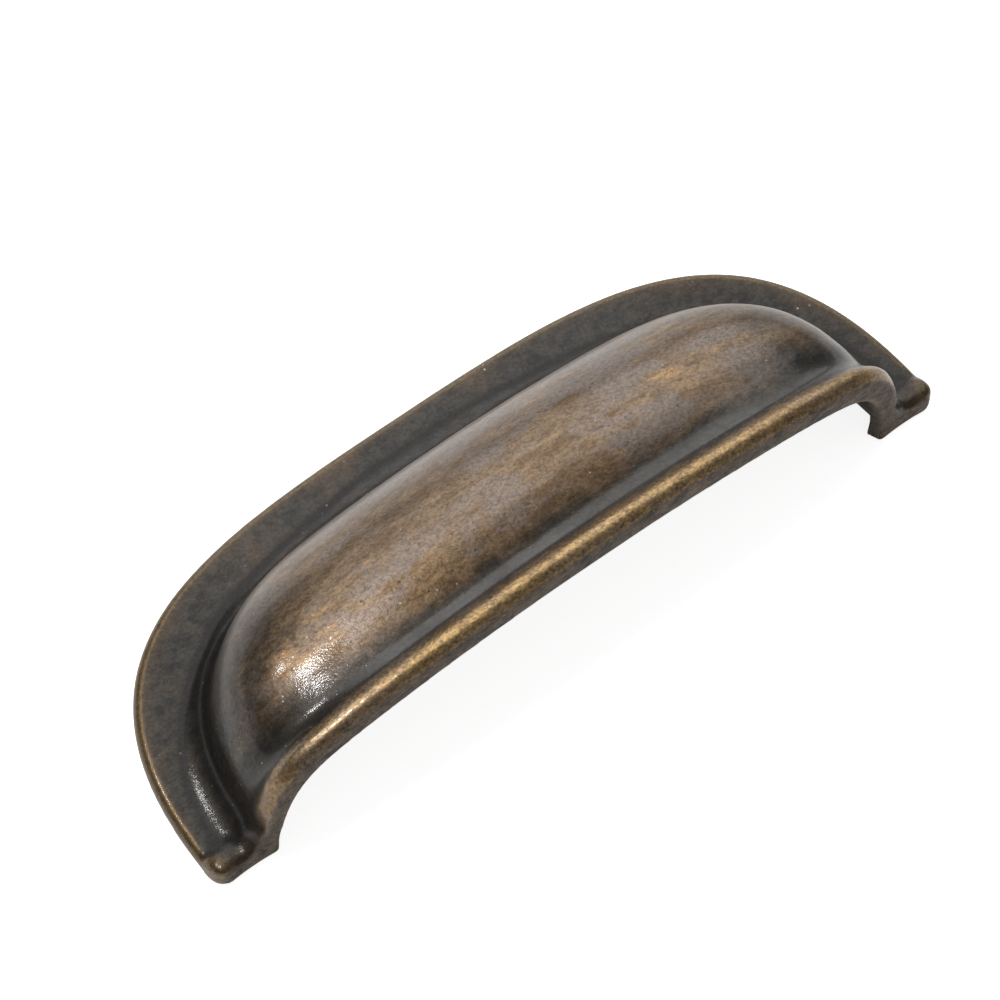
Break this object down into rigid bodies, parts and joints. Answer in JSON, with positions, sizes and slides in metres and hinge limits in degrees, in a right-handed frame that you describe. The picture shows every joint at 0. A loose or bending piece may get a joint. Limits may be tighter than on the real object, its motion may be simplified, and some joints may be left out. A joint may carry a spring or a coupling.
{
  "type": "cup drawer pull",
  "caption": "Long cup-style drawer pull cast in one piece: flat D-shaped rim, domed hood with a rolled lip over an arched finger opening, corner knobs and rear screw bosses.",
  "frame": {"origin": "midway between the two screw holes, on the back plane that lies against the drawer front", "axes": "+X along the pull, +Y from the open finger edge to the closed rear of the cup, +Z away from the drawer front"},
  "size_m": [0.126, 0.0432, 0.0288],
  "materials": {
    "aged_brass": "aged brass plate over a zinc casting, dark in the hollows and worn to gold along the lip"
  },
  "bodies": {
    "root": {"cup_pull": "aged_brass"}
  },
  "joints": []
}
